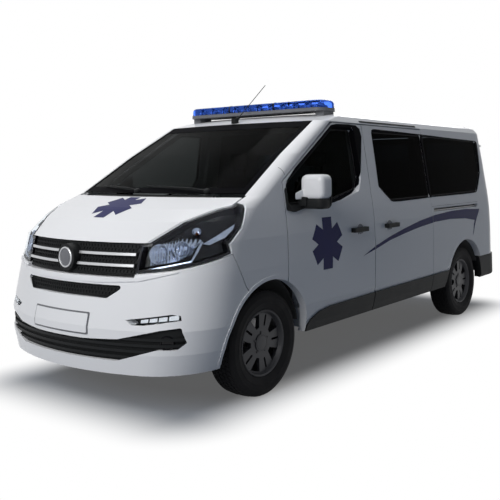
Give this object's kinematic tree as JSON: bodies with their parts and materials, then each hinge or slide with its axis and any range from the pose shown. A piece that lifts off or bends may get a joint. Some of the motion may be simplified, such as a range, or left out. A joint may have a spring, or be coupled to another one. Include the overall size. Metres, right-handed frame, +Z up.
{
  "type": "ambulance van",
  "caption": "Low-roof ambulance van with hinged cab doors, twin rear doors, lifting bonnet, steered front wheels, a roof light bar and a stretcher inside.",
  "frame": {"origin": "on the ground under the middle of the vehicle's length and width", "axes": "+X forward, +Y to the vehicle's left side, +Z up"},
  "size_m": [4.999, 2.282, 2.2233],
  "materials": {
    "white_paint": "gloss white paint",
    "dark_plastic": "grained black plastic",
    "tinted_glass": "dark tinted glass",
    "clear_glass": "clear glass",
    "lamp_lens": "clear moulded lens",
    "lamp_inside": "dark lamp inside",
    "red_lens": "red moulded lens",
    "blue_lens": "blue moulded lens",
    "grey_plastic": "grey plastic",
    "tyre_rubber": "black tyre rubber",
    "wheel_paint": "graphite paint",
    "steel": "dark steel",
    "iron": "cast iron",
    "under_paint": "dark under-body paint",
    "seat_cloth": "dark seat cloth",
    "pad_vinyl": "orange vinyl pad"
  },
  "bodies": {
    "body": {"aerial": "dark_plastic", "bulkhead": "grey_plastic", "cab_seats": "seat_cloth", "dashboard": "dark_plastic", "engine_block": "iron", "fixed_glass": "tinted_glass", "floor_pan": "under_paint", "front_bumper": "white_paint", "front_structure": "under_paint", "front_subframe": "steel", "front_wings": "white_paint", "headlamps": "lamp_inside", "lamp_lenses": "lamp_lens", "light_bar_base": "grey_plastic", "light_bar_lens": "blue_lens", "lower_grille": "dark_plastic", "rear_axle": "steel", "rear_bumper": "dark_plastic", "roof_panel": "white_paint", "side_cladding": "dark_plastic", "side_panel_left": "white_paint", "side_panel_right": "white_paint", "sliding_door_left": "white_paint", "sliding_door_right": "white_paint", "steering_wheel": "dark_plastic", "stretcher": "pad_vinyl", "tail_lamps": "red_lens", "upper_grille": "dark_plastic", "windscreen": "clear_glass"},
    "front_door_left": {"front_door_left": "white_paint", "door_glass_left": "clear_glass", "mirror_left": "dark_plastic", "door_trim_left": "dark_plastic"},
    "rear_door_left": {"rear_door_left": "white_paint", "rear_glass_left": "tinted_glass"},
    "knuckle_left": {"knuckle_left": "iron"},
    "front_door_right": {"front_door_right": "white_paint", "door_glass_right": "clear_glass", "mirror_right": "dark_plastic", "door_trim_right": "dark_plastic"},
    "rear_door_right": {"rear_door_right": "white_paint", "rear_glass_right": "tinted_glass"},
    "knuckle_right": {"knuckle_right": "iron"},
    "bonnet": {"bonnet": "white_paint"},
    "wheel_front_left": {"tyre_front_left": "tyre_rubber", "rim_front_left": "wheel_paint"},
    "wheel_front_right": {"tyre_front_right": "tyre_rubber", "rim_front_right": "wheel_paint"},
    "wheel_rear_left": {"tyre_rear_left": "tyre_rubber", "rim_rear_left": "wheel_paint"},
    "wheel_rear_right": {"tyre_rear_right": "tyre_rubber", "rim_rear_right": "wheel_paint"}
  },
  "joints": [
    {"name": "steer_left", "type": "hinge", "parent": "body", "child": "knuckle_left", "pos_m": [1.5665, 0.7475, 0.345], "axis": [0, 0, 1], "range_deg": [-34, 34]},
    {"name": "steer_right", "type": "hinge", "parent": "body", "child": "knuckle_right", "pos_m": [1.5665, -0.7475, 0.345], "axis": [0, 0, 1], "range_deg": [-34, 34]},
    {"name": "spin_front_left", "type": "hinge", "parent": "knuckle_left", "child": "wheel_front_left", "pos_m": [1.5665, 0.8075, 0.345], "axis": [0, 1, 0], "continuous": true},
    {"name": "spin_front_right", "type": "hinge", "parent": "knuckle_right", "child": "wheel_front_right", "pos_m": [1.5665, -0.8075, 0.345], "axis": [0, 1, 0], "continuous": true},
    {"name": "spin_rear_left", "type": "hinge", "parent": "body", "child": "wheel_rear_left", "pos_m": [-1.5315, 0.814, 0.345], "axis": [0, 1, 0], "continuous": true},
    {"name": "spin_rear_right", "type": "hinge", "parent": "body", "child": "wheel_rear_right", "pos_m": [-1.5315, -0.814, 0.345], "axis": [0, 1, 0], "continuous": true},
    {"name": "front_door_left_swing", "type": "hinge", "parent": "body", "child": "front_door_left", "pos_m": [1.293, 0.948, 0.93], "axis": [0, 0, -1], "range_deg": [0, 70]},
    {"name": "front_door_right_swing", "type": "hinge", "parent": "body", "child": "front_door_right", "pos_m": [1.293, -0.948, 0.93], "axis": [0, 0, 1], "range_deg": [0, 70]},
    {"name": "rear_door_left_swing", "type": "hinge", "parent": "body", "child": "rear_door_left", "pos_m": [-2.4595, 0.716, 1.22], "axis": [0, 0, -1], "range_deg": [0, 180]},
    {"name": "rear_door_right_swing", "type": "hinge", "parent": "body", "child": "rear_door_right", "pos_m": [-2.4595, -0.716, 1.22], "axis": [0, 0, 1], "range_deg": [0, 180]},
    {"name": "bonnet_lift", "type": "hinge", "parent": "body", "child": "bonnet", "pos_m": [1.76, 0, 1.27], "axis": [0, -1, 0], "range_deg": [0, 45]}
  ],
  "couplings": [
    {"joint": "steer_right", "follows": "steer_left", "ratio": 1}
  ]
}
